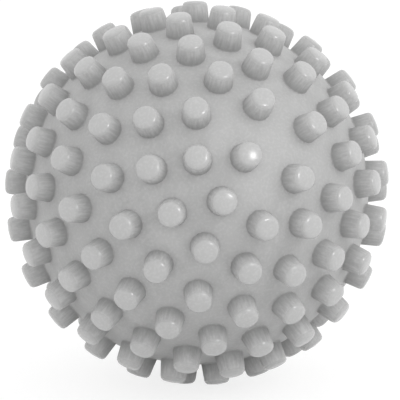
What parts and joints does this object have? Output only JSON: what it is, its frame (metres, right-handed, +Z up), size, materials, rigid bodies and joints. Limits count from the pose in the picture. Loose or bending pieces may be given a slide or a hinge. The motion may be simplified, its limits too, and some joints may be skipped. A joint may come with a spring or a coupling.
{
  "type": "sensory ball",
  "caption": "Soft hollow sensory ball with blunt rounded stubs in even rings all over, a fine seam, and a small push-in air plug.",
  "frame": {"origin": "the floor, straight under the ball's centre, where the ball stands on three stub tips", "axes": "+Z up; -Y faces the camera of the reference picture, with +X to its right; the front pole of the stub rings points to the camera's right, front and up, and the air valve lies opposite it, low at the back"},
  "size_m": [0.08, 0.0799, 0.0797],
  "materials": {
    "front_half": "satin",
    "back_half": "satin",
    "valve_sleeve": "satin",
    "valve_plug": "satin"
  },
  "bodies": {
    "ball": {"front_half": "front_half", "back_half": "back_half", "valve_sleeve": "valve_sleeve"},
    "plug": {"valve_plug": "valve_plug"}
  },
  "joints": [
    {"name": "plug_pull", "type": "slide", "parent": "ball", "child": "plug", "axis": [-0.4337, 0.7856, -0.4414], "range_m": [0, 0.012]}
  ]
}
